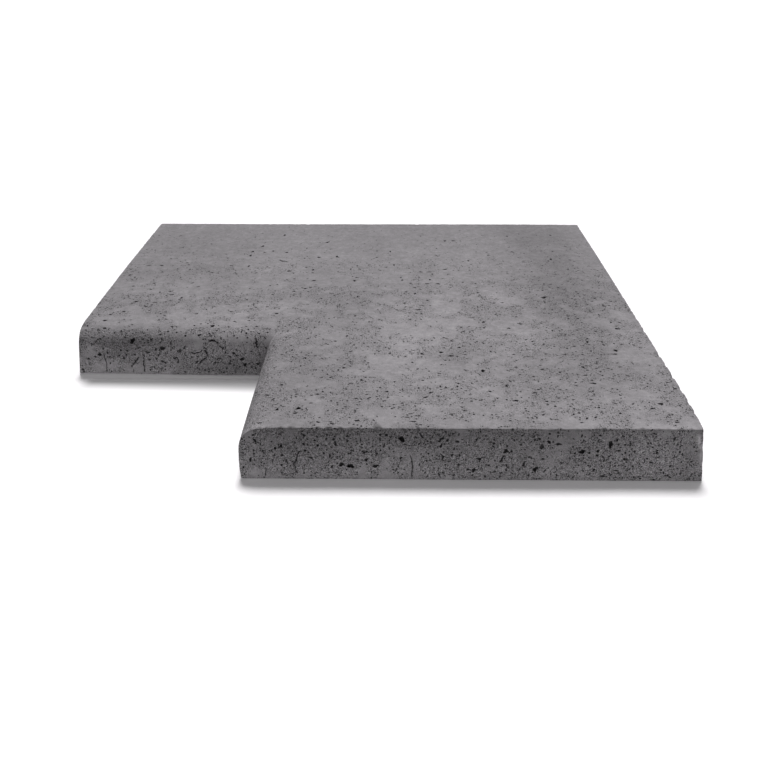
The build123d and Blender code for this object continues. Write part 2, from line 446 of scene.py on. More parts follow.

# Darker and lighter patches of the colour: centre, reach each way and the share they add. Most are the
# paste's own tone. The long bands across the left nosing's crown and round are painted shade and
# painted highlight that set its shading. Those low on that nosing towards the inner corner, and the
# one in the corner itself, are painted shade. On the front face, the band under the top edge is
# painted shade and those at its foot are painted light
toneAndPaintedLightPatches = [
    ((190, 150, 40), (30, 110, 30), -0.17), ((196, 20, 40), (30, 60, 30), -0.13),
    ((190, -110, 40), (30, 40, 30), -0.09), ((150, -172, 40), (28, 22, 20), -0.1),
    ((76, -120, 40), (15, 12, 15), -0.15), ((-160, 85, 40), (22, 20, 20), -0.12),
    ((-195, 165, 40), (40, 36, 30), -0.13), ((-230, 75, 40), (24, 36, 30), -0.1),
    ((-205, -12, 40), (22, 12, 12), -0.09), ((0, 60, 40), (20, 50, 30), -0.05),
    ((-10, -40, 40), (20, 40, 30), -0.05), ((-52, -190, 40), (18, 40, 20), -0.09),
    ((30, -196, 40), (40, 20, 20), -0.06), ((70, 85, 40), (16, 14, 15), -0.07),
    ((35, -112, 40), (26, 34, 30), 0.15), ((50, -40, 40), (28, 42, 30), 0.11),
    ((74, 0, 40), (14, 60, 30), 0.06), ((132, -72, 40), (28, 45, 30), 0.08),
    ((128, 120, 40), (26, 80, 30), 0.05), ((-86, 60, 40), (12, 60, 20), 0.05),
    ((-80, -16, 40), (18, 12, 12), 0.11), ((-120, -38, 40), (22, 12, 10), 0.12),
    ((-25, -75, 40), (22, 22, 20), 0.06), ((-34, -160, 40), (20, 18, 20), -0.05),
    ((18, -222, 40), (14, 8, 12), -0.1), ((80, -238, 40), (12, 8, 12), -0.06),
    ((214, -237, 40), (18, 8, 12), -0.11), ((127, 3, 40), (12, 12, 14), 0.13),
    ((-18, 30, 40), (12, 12, 14), 0.07), ((167, -221, 40), (12, 9, 12), 0.06),
    ((45, -138, 40), (40, 10, 12), -0.07), ((147, -92, 40), (13, 12, 14), 0.12),
    ((228, -60, 40), (18, 50, 20), 0.08), ((34, -8, 40), (14, 22, 14), 0.07),
    ((58, -114, 40), (12, 9, 12), 0.06), ((-205, 88, 40), (20, 15, 14), -0.09),
    ((-140, 55, 40), (40, 20, 14), -0.05), ((185, 225, 40), (40, 25, 20), -0.06),
    ((60, -166, 40), (25, 20, 20), 0.06), ((100, -224, 40), (110, 14, 14), 0.04),
    ((215, -226, 40), (20, 16, 16), 0.05), ((150, 195, 40), (60, 26, 30), -0.04),
    # Painted shade on the left nosing's crown: (-175, -67, 39) and (-165, -65, 39); painted highlight
    # where the crown begins: (-118, -67, 39) and (-130, -59, 40)
    ((0, 235, 40), (240, 60, 30), -0.1), ((-175, -67, 39), (60, 5, 5), -0.09),
    ((120, -202, 40), (110, 30, 30), 0.09), ((238, -130, 40), (14, 50, 20), 0.11),
    ((65, -92, 40), (26, 14, 20), 0.08), ((-118, -67, 39), (26, 6, 6), 0.1),
    ((-130, -59, 40), (50, 6, 8), 0.09), ((-70, -200, 40), (14, 50, 20), 0.07),
    ((-20, 46, 40), (30, 12, 20), -0.05), ((55, -165, 40), (60, 40, 30), 0.03),
    # On the left nosing's round: painted shade at (-190, -78, 25), and painted highlight at (-112,
    # -76, 30), (-231, -78, 29), (-128, -78, 31) and (-238, -79, 29). Painted shade low on it by the
    # inner corner at (-114, -80, 6), (-125, -80, 1) and (-112, -80, 9), and in the corner at (-84,
    # -84, 20)
    ((-190, -78, 25), (45, 8, 9), -0.07), ((-114, -80, 6), (38, 9, 8), -0.28),
    ((-112, -76, 30), (36, 6, 9), 0.28), ((-231, -78, 29), (13, 8, 6), 0.18),
    ((-165, -80, 8), (40, 8, 8), 0.02), ((-222, -80, 6), (18, 8, 7), 0.05),
    ((-125, -80, 1), (60, 12, 8), -0.1), ((-84, -84, 20), (12, 14, 20), -0.12),
    ((118, -250, 8), (14, 9, 7), -0.14), ((-128, -78, 31), (48, 6, 7), 0.19),
    ((-238, -79, 29), (6, 6, 6), 0.36), ((-212, -80, 22), (14, 8, 5), -0.12),
    ((-174, -80, 10), (8, 8, 12), 0.1), ((-112, -80, 9), (26, 8, 6), -0.1),
    ((-245, -80, 1), (5, 8, 3), 0.3), ((128, -250, 25), (8, 8, 6), -0.08),
    ((110, -250, 13), (6, 8, 5), 0.08), ((185, -250, 27), (8, 8, 5), -0.14),
    ((74, -250, 8), (8, 8, 5), -0.08), ((110, -250, 31), (7, 8, 6), 0.09),
    ((-90, -82, 6), (7, 10, 5), 0.2), ((234, -250, 12), (14, 8, 10), -0.14),
    ((-70, -250, 14), (8, 8, 6), -0.12), ((216, -250, 30), (30, 8, 12), 0.46),
    ((-54, -250, 28), (12, 8, 8), -0.09), ((8, -250, 30), (26, 8, 9), -0.05),
    ((-73, -250, 37), (7, 8, 5), 0.34), ((-75, -250, 12), (9, 8, 14), 0.12),
    # Painted light at the front face's foot: (20, -250, 1), (145, -250, 1) and (60, -250, 9); painted
    # shade under its top edge: (0, -250, 36)
    ((118, -250, 34), (16, 8, 6), 0.07), ((20, -250, 1), (50, 8, 5), 0.08),
    ((145, -250, 1), (20, 8, 5), 0.12), ((0, -250, 36), (120, 8, 5), -0.05),
    ((60, -250, 9), (60, 8, 8), 0.04), ((-165, -65, 39), (130, 5, 6), -0.07),
    ((250, -250, 20), (3, 4, 13), 0.22), ((244, -248, 34), (0.9, 4, 1.3), 1.2),
    ((244.9, -248, 30.6), (0.8, 4, 1), 1.5), ((243.5, -248, 31.5), (0.5, 4, 1.6), 0.9),
    ((245.6, -249, 27), (0.6, 4, 0.9), 0.9), ((246.6, -249, 20), (0.5, 4, 3.5), 0.5),
    ((239, -250, 22), (3.5, 8, 12), -0.1), ((219, -250, 10), (10, 8, 10), 0.16),
    ((238, -250, 38), (9, 8, 4), 0.22), ((202, -250, 28), (9, 8, 6), 0.1),
]

# Where the paste lay tight against the mould: centre, reach each way, and how many fewer pores
# it has. Below nothing there are more
tightPatches = [
    ((-66, -250, 6), (9, 8, 8), 1.4), ((-33, -250, 9), (8, 8, 6), 1.2),
    ((28, -250, 16), (11, 8, 7), 1.5), ((49, -250, 17), (6, 8, 6), 1.4),
    ((0, -250, 1), (60, 8, 4), 0.9), ((140, -250, 12), (22, 8, 8), 1.1),
    ((212, -250, 22), (32, 8, 18), -1.4), ((239, -250, 22), (4, 8, 14), 2),
    ((-215, -80, 7), (28, 10, 8), 1.6), ((-175, -80, 5), (22, 10, 6), 1.3),
    ((-205, -62, 39), (32, 10, 8), 1.4), ((-110, -60, 39), (30, 8, 5), 0.8),
    ((-248, 80, 20), (8, 40, 10), 0.8), ((248, 60, 18), (8, 70, 10), 0.9),
    ((40, 248, 22), (80, 8, 10), 0.9), ((-180, 25, 40), (80, 50, 10), 0.7),
    ((20, -222, 40), (13, 10, 8), -1.3),
]

# Where the mould was not quite true: centre, reach each way, and how far it moved the face
mouldErrors = [
    ((250, -100, 40), (60, 120, 30), (1.3, 0, 0)), ((250, -190, 43), (40, 40, 10), (0.8, 0, 0)),
    ((250, -252, 34), (26, 12, 12), (-0.8, 0, 0)), ((205, -250, 42), (36, 26, 12), (0, 1, 0)),
    ((250, 245, 42), (40, 40, 20), (-1, 0, 0)), ((-250, 120, 44), (60, 120, 20), (-1.7, 0, 0)),
    ((-250, -80, 10), (40, 24, 16), (1.2, 0, 0)), ((-250, -76, 30), (40, 16, 12), (1.4, 0, 0)),
    ((-80, -195, 18), (25, 70, 25), (-1.1, 0, 0)), ((-115, -80, 0), (60, 25, 15), (0, -3, 0)),
    ((150, 250, 42), (90, 50, 14), (0, 1.8, 0)),
]

# Where the paste is porous and where it is smooth
porousPaste = {
    "waves": ((42.0, 1.1), (13.0, 1.1)),
    "level": 1.3,  # above nothing, most of a face is porous
    "lowerOnTop": 0.8,
    "waviness": 0.55,  # how much of the waves shows
    "wavierOnTop": 0.45,
    # The lighter patches include painted highlights as well as the paste's own lighter tone
    "lightPatches": 4,  # how much a light patch of the paste takes off
    "smoothBack": 0.94,  # the share that is gone at the back of the walking surface
}


# True for the points inside an outline: a ray to the right crosses it an odd number of times
def insideOutline(points, outline):
    x0, y0 = outline.T
    x1, y1 = np.roll(outline, -1, axis=0).T
    rise = np.where(y0 == y1, 1.0, y1 - y0)
    inside = []
    for block in np.array_split(points, len(points) // 500 + 1):
        x, y = block[:, :1], block[:, 1:]
        crosses = (y0 > y) != (y1 > y)
        onTheRight = x < x0 + (y - y0) * (x1 - x0) / rise
        inside.append((crosses & onTheRight).sum(1) % 2 == 1)
    return np.concatenate(inside)


# True for the points that keep their distance from the others. The others are stamped as discs
# on a fine raster, which the points then read
def clearOf(points, others, distance, pixel=0.2):
    if not len(others) or not len(points):
        return np.ones(len(points), bool)
    reach = int(math.ceil(distance / pixel))
    i, j = np.mgrid[-reach:reach + 1, -reach:reach + 1]
    disc = np.hypot(i, j) <= distance / pixel
    offsets = np.column_stack([i[disc], j[disc]])
    low = np.minimum(points.min(0), others.min(0))
    high = np.maximum(points.max(0), others.max(0))
    taken = np.zeros(((high - low) / pixel).astype(int) + 2 * reach + 2, bool)
    at = ((others - low) / pixel).astype(int)[:, None] + offsets + reach
    taken[at[..., 0], at[..., 1]] = True
    at = ((points - low) / pixel).astype(int) + reach
    return ~taken[at[:, 0], at[:, 1]]


# Slow random waves of about unit height: sines in random directions, of lengths near the reach
def waves(points, reach, rng, count=20):
    directions = rng.normal(size=(count, points.shape[1]))
    directions /= np.linalg.norm(directions, axis=1)[:, None]
    lengths = reach * rng.uniform(0.6, 1.7, count)
    turns = points @ (directions * (2 * math.pi / lengths)[:, None]).T
    return np.sin(turns + rng.uniform(0, 2 * math.pi, count)).sum(1) / math.sqrt(count / 2)


# A level plus several waves, each times its height
def mixedWaves(points, mix, rng, level=0.0):
    for reach, height in mix:
        level = level + height * waves(points, reach, rng)
    return level


# Sum of bells at each point: each patch adds its share times a bell of the distance to its centre
def bells(points, chosen):
    return sum(
        np.multiply.outer(np.exp(-0.5 * (((points - centre) / reach) ** 2).sum(1)), share)
        for centre, reach, share in chosen
    )


# How porous the paste is at each point, from 0 to 1: slow waves through the stone carry finer ones.
# The lighter patches of the colour, painted highlights among them, are smoother, and so is the back of
# the walking surface, while the upright faces are porous nearly all over
def porosity(points):
    look = porousPaste
    stray = mixedWaves(points, look["waves"], np.random.default_rng(stone["seed"]))
    onTop = np.clip(points[:, 2] - thickness + 1, 0, 1)
    stray = stray * (look["waviness"] + look["wavierOnTop"] * onTop)
    tight = look["lightPatches"] * bells(points, toneAndPaintedLightPatches) + bells(points, tightPatches)
    porous = np.tanh(look["level"] - look["lowerOnTop"] * onTop + stray - tight)
    back = np.clip(points[:, 1] / halfSide, 0, 1) ** 0.5
    return (0.5 + 0.5 * porous) * (1 - look["smoothBack"] * onTop * back)


# The pits of a face, the chosen ones first: place, length, width, heading, and depth as a share of
# the width. Radii thin out as a power of their size, and the pits gather where the paste is porous
def scatterPits(name, outline, track, rng):
    look = pits[name]
    chosen = np.array(largePits.get(name, [])).reshape(-1, 5)
    chosen = np.column_stack([chosen, np.full(len(chosen), pitForm["depth"][1])])
    low, span = outline.min(0), np.ptp(outline, axis=0)
    tries = int(look["count"] * span[0] * span[1] / countArea)
    spots = low + rng.random((tries, 2)) * span
    power = 1 - look["falloff"]
    least, most = look["least"] ** power, look["most"] ** power
    radius = (least + (most - least) * rng.random(tries)) ** (1 / power)
    points, _ = faces[name][1](spots[:, 0], spots[:, 1])
    keep = rng.random(tries) < 1 - look["patchy"] * (1 - porosity(points))
    spots, radius = spots[keep], radius[keep]
    stretch = np.sqrt(rng.uniform(*pitForm["stretch"], len(spots)))
    scattered = np.column_stack([
        spots, 2 * radius * stretch, 2 * radius / stretch, rng.uniform(0, 180, len(spots)),
        rng.uniform(*pitForm["depth"], len(spots)),
    ])
    scattered = scattered[np.argsort(-radius, kind="stable")]
    every = np.vstack([chosen, scattered])
    return thinPits(every[insideOutline(every[:, :2], outline)], np.vstack([outline, track]))


# Leaves out each pit that would run into an earlier one, a track or the outline
def thinPits(pit, lines):
    reach = pitForm["reach"] * pit[:, 2]
    share, more = pitForm["apart"]
    toLines = np.concatenate([
        np.sqrt(((block[:, None, :2] - lines) ** 2).sum(2).min(1))
        for block in np.array_split(pit, max(1, len(pit) // 500))
    ])
    kept = []
    for index in np.flatnonzero(toLines > reach + pitForm["toLines"]):
        others = np.array(kept, int)
        gaps = np.hypot(*(pit[others, :2] - pit[index, :2]).T)
        if np.all(gaps > share * (reach[others] + reach[index]) + more):
            kept.append(index)
    return pit[kept]


# Rings of points from a pit's rim to its floor: the largest radius that they serve, the corners
# of a ring, and each ring's share of the radius and of the depth
pitRings = (
    (0.7, 6, ((1.0, 0.0), (0.0, 1.0))),
    (1.15, 8, ((1.0, 0.0), (0.66, 0.8), (0.0, 1.0))),
    (9.0, 13, ((1.0, 0.0), (0.78, 0.75), (0.4, 0.97), (0.0, 1.0))),
)


# A rim is an ellipse made ragged: its radius is 1 plus a few cosines of two to five times the turn.
# The rings inside shrink towards the pit's own middle, and a deep pit also gets more painted shade
def pitPoints(pit, rng):
    points, sunk, rims = [], [], []
    radius = 0.5 * np.sqrt(pit[:, 2] * pit[:, 3])
    darker, less = pitForm["darkness"]
    smallest, count = 0.0, 0
    for largest, corners, rings in pitRings:
        chosen = pit[(radius > smallest) & (radius <= largest)]
        smallest = largest
        number = len(chosen)
        if not number:
            continue
        length, width, heading, depth = (chosen[:, k, None] for k in (2, 3, 4, 5))
        turn = np.linspace(0, 2 * math.pi, corners, endpoint=False) + rng.uniform(0, 1, (number, 1))
        ragged = np.ones((number, corners))
        for times, height in pitForm["ragged"]:
            ragged += height * np.cos(times * turn + rng.uniform(0, 2 * math.pi, (number, 1)))
        along = 0.5 * length * ragged * np.cos(turn)
        across = 0.5 * width * ragged * np.sin(turn)
        heading = np.radians(heading)
        offset = np.stack([
            along * np.cos(heading) - across * np.sin(heading),
            along * np.sin(heading) + across * np.cos(heading),
        ], axis=2)
        place = chosen[:, None, :2]
        middle = place + pitForm["lean"] * width[:, :, None] * rng.normal(size=(number, 1, 2))
        for share, down in rings:
            centre = place * share + middle * (1 - share)
            ring = centre + offset * share if share else centre
            size = ring.shape[1]
            if share == 1.0:
                first = count + np.arange(number)[:, None] * size
                corner = np.arange(size)
                rim = np.stack([first + corner, first + (corner + 1) % size], axis=2)
                rims.append(rim.reshape(-1, 2))
            points.append(ring.reshape(-1, 2))
            marks = np.hstack([depth * width * down, (depth * darker - less) * (down > 0)])
            sunk.append(np.repeat(marks, size, axis=0))
            count += number * size
    return np.vstack(points), np.vstack(sunk), np.vstack(rims)


# A track is a narrow pit. Its floor runs through its places, and its rim lies half the width to
# either side, where the width comes and goes and shrinks to nothing at both ends
def trackPoints(name, rng):
    points, sunk, rims = [np.zeros((0, 2))], [np.zeros((0, 2))], [np.zeros((0, 2), int)]
    count = 0
    for width, *places in tracks.get(name, []):
        places = np.array(places)
        passed = np.concatenate([[0.0], np.cumsum(np.linalg.norm(np.diff(places, axis=0), axis=1))])
        along = np.linspace(0, passed[-1], max(4, int(passed[-1] / spacing["track"]) + 1))
        floor = np.column_stack([np.interp(along, passed, places[:, k]) for k in (0, 1)])
        floor[1:-1] = 0.5 * floor[1:-1] + 0.25 * (floor[:-2] + floor[2:])
        floor[1:-1] += rng.normal(0, trackForm["wander"] * width, (len(floor) - 2, 2))
        run = np.gradient(floor, axis=0)
        half = 0.5 * width * np.column_stack([-run[:, 1], run[:, 0]])
        half /= np.linalg.norm(run, axis=1)[:, None]
        left, right = (
            (floor + side * half * rng.uniform(*trackForm["width"], (len(floor), 1)))[1:-1]
            for side in (1, -1)
        )
        rim = np.vstack([floor[:1], left, floor[-1:], right[::-1]])
        floorMarks = np.column_stack([
            np.full(len(left), 0.5 * width), rng.uniform(*trackForm["darkness"], len(left)),
        ])
        points += [rim, floor[1:-1]]
        sunk += [np.zeros((len(rim), 2)), floorMarks]
        corner = np.arange(len(rim))
        rims.append(count + np.column_stack([corner, np.roll(corner, -1)]))
        count += len(rim) + len(left)
    return np.vstack(points), np.vstack(sunk), np.vstack(rims)


# A triangular lattice of points over the outline's box, each a little out of place
def lattice(outline, step, rng):
    low, high = outline.min(0), outline.max(0)
    rows = np.arange(low[1], high[1], step * math.sqrt(0.75))
    across = np.arange(low[0], high[0] + step, step)
    a = across[None, :] + (np.arange(len(rows)) % 2)[:, None] * step / 2
    b = np.broadcast_to(rows[:, None], a.shape)
    stray = rng.uniform(-spacing["jitter"], spacing["jitter"], (a.size, 2))
    points = np.column_stack([a.ravel(), b.ravel()]) + stray * step
    points = points[insideOutline(points, outline)]
    return points[clearOf(points, outline, room["innerToOutline"] * step)]


# Rows of points beside the arrises, each a set distance in from the outline
def rowsBesideArrises(outline, arris):
    ahead, behind = np.roll(outline, -1, axis=0), np.roll(outline, 1, axis=0)
    run = ahead - behind
    area = np.sum(outline[:, 0] * ahead[:, 1] - ahead[:, 0] * outline[:, 1])
    inward = np.sign(area) * np.column_stack([-run[:, 1], run[:, 0]])
    inward /= np.linalg.norm(run, axis=1)[:, None]
    rows = [np.zeros((0, 2))]
    for offset in spacing["rowsBesideEdge"]:
        row = outline[arris] + inward[arris] * offset
        row = row[insideOutline(row, outline)]
        rows.append(row[clearOf(row, outline, room["rowToOutline"] * offset, 0.1)])
    return np.vstack(rows)


# Joins points into triangles that keep the fixed edges, and leaves out those outside the outline,
# whose points come first. Source gives the number that each made point had before
def triangulate(flat, fixed, outline):
    vectors = [Vector(point) for point in flat.tolist()]
    made = delaunay_2d_cdt(vectors, fixed.tolist(), [], 0, 1e-5, True)
    source = np.array([ids[0] if ids else -1 for ids in made[3]])
    flat = np.array([tuple(point) for point in made[0]])
    triangles = np.array(made[2])
    onOutline = np.all(source[triangles] < len(outline), axis=1)
    keep = ~onOutline
    keep[onOutline] = insideOutline(flat[triangles[onOutline]].mean(1), outline)
    return flat, triangles[keep], source


# One face: its outline, tracks, pits, rows beside the arrises and lattice, joined into triangles
# and placed by the face's own function
def buildFace(name, rng):
    (outline, arris), place = faces[name]
    track, trackSunk, trackRims = trackPoints(name, rng)
    pit = scatterPits(name, outline, track, rng)
    ringPoints, ringSunk, ringRims = pitPoints(pit, rng)
    ringPoints, ringSunk = np.vstack([track, ringPoints]), np.vstack([trackSunk, ringSunk])
    ringRims = np.vstack([trackRims, ringRims + len(track)])
    step = spacing.get(name, spacing["side"])
    rows = rowsBesideArrises(outline, arris)
    rows = rows[clearOf(rows, ringPoints, room["rowsToPits"])]
    inner = lattice(outline, step, rng)
    inner = inner[clearOf(inner, ringPoints, room["innerToPits"] * step)]
    inner = inner[clearOf(inner, rows, room["innerToRows"] * step)]
    flat = np.vstack([outline, ringPoints, rows, inner])
    sunk = np.zeros((len(flat), 2))
    sunk[len(outline):len(outline) + len(ringPoints)] = ringSunk
    corner = np.arange(len(outline))
    fixed = np.vstack([np.column_stack([corner, np.roll(corner, -1)]), ringRims + len(outline)])
    flat, triangles, source = triangulate(flat, fixed, outline)
    sunk = np.where((source >= 0)[:, None], sunk[source], 0.0)
    points, normals = place(flat[:, 0], flat[:, 1])
    corners = points[triangles]
    facing = np.cross(corners[:, 1] - corners[:, 0], corners[:, 2] - corners[:, 0])
    turned = (facing * normals[triangles[:, 0]]).sum(1) < 0
    triangles[turned] = triangles[turned][:, ::-1]
    if name == "underside":
        hollows = np.clip(mixedWaves(flat, stone["trowelWaves"], rng), 0, 1)
        hollows *= clearOf(flat, outline, stone["trowelMargin"])
        points[:, 2] += stone["trowelling"] * hollows
    print("face", name, len(pit), "pits", len(triangles), "triangles")
    return points, normals, sunk, triangles, points[onArris(source, arris)]


# Which of the made points are arris points of the outline
def onArris(source, arris):
    chosen = (source >= 0) & (source < len(arris))
    chosen[chosen] = arris[source[chosen]]
    return chosen


# How deep points lie below the walking surface, and the way in from it: straight down from the
# flat top, or square to a nosing's section
def belowWalkingSurface(points):
    depth = thickness - points[:, 2]
    inward = np.tile([0.0, 0.0, -1.0], (len(points), 1))
    u, z, turn = sectionAt(np.linspace(0, sectionLength, 500))
    for across, along in ((1, 0), (0, 1)):
        near = np.flatnonzero((points[:, across] < crownLine) & (points[:, along] < crownLine))
        gaps = np.hypot(points[near, across][:, None] - nosingLine - u, points[near, 2][:, None] - z)
        pick = gaps.argmin(1)
        depth[near] = gaps[np.arange(len(near)), pick]
        inward[near] = 0.0
        inward[near, across] = np.sin(turn[pick])
        inward[near, 2] = -np.cos(turn[pick])
    return depth, inward


# Radius of the arris near each point: the moulded one, wandering a little, and more at a bite, whose
# profile along the edge is half an ellipse, made ragged. Also the bite's painted shade there, which is
# below nothing where a fresh break is paler
def arrisRadii(points, arrisPoints, rng):
    moulded, count = stone["arrisRadius"], bites["count"]
    radius = 1 + stone["arrisWear"] * mixedWaves(points, stone["arrisWaves"], rng)
    radius = moulded * np.clip(radius, *stone["arrisLimits"])
    bitten = np.zeros(len(points))
    upper = arrisPoints[arrisPoints[:, 2] > bites["aboveUnderside"]]
    centres = upper[rng.integers(0, len(upper), count)]
    reaches = bites["least"] + (bites["most"] - bites["least"]) * rng.random(count) ** 3
    added = reaches * rng.uniform(*bites["added"], count)
    raggedReach, raggedHeight = bites["ragged"]
    ragged = 1 + raggedHeight * waves(points, raggedReach, rng, 30)
    scattered = zip(centres, reaches, added, [bites["darkness"]] * count)
    for centre, reach, extra, dark in list(scattered) + bites["chosen"]:
        share = 1 - ((points - centre) ** 2).sum(1) / (reach + bites["fade"]) ** 2
        near = share > 0
        bite = np.sqrt(share[near]) * np.clip(ragged[near], *bites["raggedLimits"])
        bitten[near] += dark * np.clip(1.6 * bite - 0.3, 0, 1)
        radius[near] = np.maximum(radius[near], moulded + extra * bite)
    return radius, np.clip(bitten, *bites["darkLimits"])


# Rounds the arrises. With d the depth below each face that meets there and r the radius, a
# point's pull is the sum of (r - d) times each inward normal, and it moves in by its length
# less r. Next to the underside it only moves sideways
def wearArrises(points, radius):
    depth, inward = belowWalkingSurface(points)
    pull = np.maximum(radius - depth, 0)[:, None] * inward
    for axis in (0, 1):
        for sign in (-1, 1):
            depth = (halfSide - points[:, 2] * draftSlope - sign * points[:, axis]) * math.cos(draft)
            normal = np.zeros(3)
            normal[axis], normal[2] = -sign * math.cos(draft), -math.sin(draft)
            pull += np.maximum(radius - depth, 0)[:, None] * normal
    length = np.linalg.norm(pull, axis=1)
    pull[:, 2] = np.where(points[:, 2] < stone["levelFoot"], 0.0, pull[:, 2])
    return points + pull * (np.maximum(length - radius, 0) / np.maximum(length, 1e-9))[:, None]


# Slow hollows in every face: a point moves towards the middle of the stone by its share of the
# way out, so the underside and the middle stay
def makeUneven(points, rng):
    out = points / (halfSide, halfSide, thickness)
    depth = np.column_stack([mixedWaves(points, stone["unevenWaves"], rng, 0.5) for _ in range(3)])
    return points - out * stone["unevenness"] * np.clip(depth, 0, 1) + bells(points, mouldErrors)


# Joins the faces where their edges meet. A straight run of an outline can have left a flat
# triangle outside it, which has one open edge
def closeSeams(mesh):
    work = bmesh.new()
    work.from_mesh(mesh)
    bmesh.ops.remove_doubles(work, verts=work.verts, dist=2e-6)
    flat = [
        face for face in work.faces
        if sorted(len(edge.link_faces) for edge in face.edges) == [1, 3, 3]
    ]
    bmesh.ops.delete(work, geom=flat, context="FACES")
    openEdges = sum(1 for edge in work.edges if len(edge.link_faces) != 2)
    work.to_mesh(mesh)
    work.free()
    print("stone", len(mesh.vertices), "points", len(mesh.polygons), "triangles")
    print("stone", openEdges, "open edges")


# The faces in one mesh: the arrises are worn first, then the faces move as a whole, and the pits
# and tracks sink in along the normals. What the material needs is kept as attributes
def makeStone():
    rng = np.random.default_rng(stone["seed"])
    parts = [buildFace(name, rng) for name in faces]
    starts = np.cumsum([0] + [len(part[0]) for part in parts[:-1]])
    points, normals, sunk = (np.concatenate([part[k] for part in parts]) for k in range(3))
    triangles = np.vstack([part[3] + start for part, start in zip(parts, starts)])
    arrisPoints = np.vstack([part[4] for part in parts])
    radius, bitten = arrisRadii(points, arrisPoints, rng)
    worn = wearArrises(points, radius)
    shaped = makeUneven(worn, rng) - normals * sunk[:, :1]
    shaped = np.clip(shaped, (-halfSide, -halfSide, 0), (halfSide, halfSide, thickness))
    mesh = bpy.data.meshes.new("copingCorner")
    mesh.from_pydata((shaped / mm).tolist(), [], triangles.tolist())
    values = {
        # pit carries the painted shade of the pits and tracks; tone carries the patches, with their
        # painted shade and painted highlight, and the bites' painted shade
        "pit": sunk[:, 1],
        "tone": (1 + bells(points, toneAndPaintedLightPatches)) * (1 - bitten),
        "upright": np.hypot(normals[:, 0], normals[:, 1]),
        "porous": porosity(points),
    }
    for name, value in values.items():
        attribute = mesh.attributes.new(name, "FLOAT", "POINT")
        attribute.data.foreach_set("value", value.astype(np.float32))
    closeSeams(mesh)
    mesh.shade_smooth()
    mesh.set_sharp_from_angle(angle=math.radians(stone["sharpAngle"]))
    piece = bpy.data.objects.new("coping_corner", mesh)
    bpy.context.scene.collection.objects.link(piece)
    return piece


stonePiece = makeStone()
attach(stonePiece, "root")
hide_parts(stone["node"])


# sRGB hex to linear red, green, blue and alpha
def linearColour(hexText):
    parts = [int(hexText[k:k + 2], 16) / 255 for k in (1, 3, 5)]
    return [c / 12.92 if c <= 0.04045 else ((c + 0.055) / 1.055) ** 2.4 for c in parts] + [1.0]


# Adds one node, sets its properties, and fills its inputs, in their order or by their names,
# with values or links. Gives the node's outputs
def addNode(tree, kind, inputs=(), **settings):
    made = tree.nodes.new("ShaderNode" + kind)
    for name, value in settings.items():
        setattr(made, name, value)
    for name, value in inputs.items() if isinstance(inputs, dict) else enumerate(inputs):
        if isinstance(value, bpy.types.NodeSocket):
            tree.links.new(value, made.inputs[name])
        else:
            made.inputs[name].default_value = value
    return made.outputs


def newMaterial(name):
    material = bpy.data.materials.new(name)
    material.use_nodes = True
    material.node_tree.nodes.clear()
    return material, material.node_tree


# Wet-cast concrete: cement paste with fine sand, poured into a mould and vibrated. It is matt and
# clouded, smooth where the paste lay tight against the mould, and sandy and peppered with air pores
# where it did not. Sizes, depths and reliefs are in mm, and darkness and lightness are shares of the
# base tone. The darkness of the sunk specks, the pores and the pits is painted shade in them
concrete = {
    "paste": "#888588",
    "roughness": 0.86,
    "ior": 1.45,
    "raggedEdge": (7.0, 0.8),  # size and strength of the ragged edge of the porous places
    "porousSpan": (1.4, -0.15),  # makes smooth and porous stand apart: times, plus
    "porousDarkness": 0.10,
    "clouds": ((70, 0.04), (24, 0.06), (8, 0.09), (3.6, 0.09)),
    "clearness": (1.4, 0.7),  # strength of the clouds where smooth, and how much less where porous
    "sand": (  # size, share where smooth, more where porous, more on upright faces
        (1.5, 0.03, 0.10, 0.13),
        (0.8, 0.11, 0.30, 0.40),
    ),
    "sandRelief": 0.3,
    # The specks are sunk a little and painted darker: painted shade in them
    "specks": {"size": 1.3, "from": 0.9167, "lowerWherePorous": 0.25, "sharpness": 5.28},
    "speckDarkness": 0.70,
    "speckDepth": 0.25,
    "crumbs": {"size": 1.2, "from": 0.6667, "sharpness": 3.84},
    "crumbLightness": 0.14,
    # The pores' darkness is painted shade in them
    "pores": (  # cell, largest radius, share of cells, more on upright faces, darkness, seed
        (1.6, 0.68, 0.50, 0.12, 0.90, 3.0),
        (3.2, 1.05, 0.29, 0.13, 0.92, 11.0),
    ),
    "poreSharpness": 12.0,
    "poreWobble": (1.4, 1.6),  # size of the wobble, and how far it pushes their outline
    # painted shade in the pits and tracks of the mesh
    "pitPaintedShade": 0.80,
    "pitSharpness": 3.0,
}
noiseSpread = 0.12  # a noise texture strays about this far from its middle
crumbPlace = (5.0, 5.0, 5.0)  # keeps the crumbs' noise apart from the specks'


# A noise texture with features of one size in mm, from about -1 to 1
def strayNoise(tree, place, size, detail=2.0):
    noise = addNode(tree, "TexNoise", {
        "Vector": place, "Scale": mm / size, "Detail": detail, "Roughness": 0.55,
    })[0]
    times = 0.5 / noiseSpread
    return addNode(tree, "Math", (noise, times, -0.5 * times), operation="MULTIPLY_ADD")[0]


# How far one value stands above another, made sharp: 0 below it and soon 1 above it
def riseAbove(tree, value, other, sharpness):
    over = addNode(tree, "Math", (value, other), operation="SUBTRACT")[0]
    return addNode(tree, "Math", (over, sharpness), operation="MULTIPLY", use_clamp=True)[0]


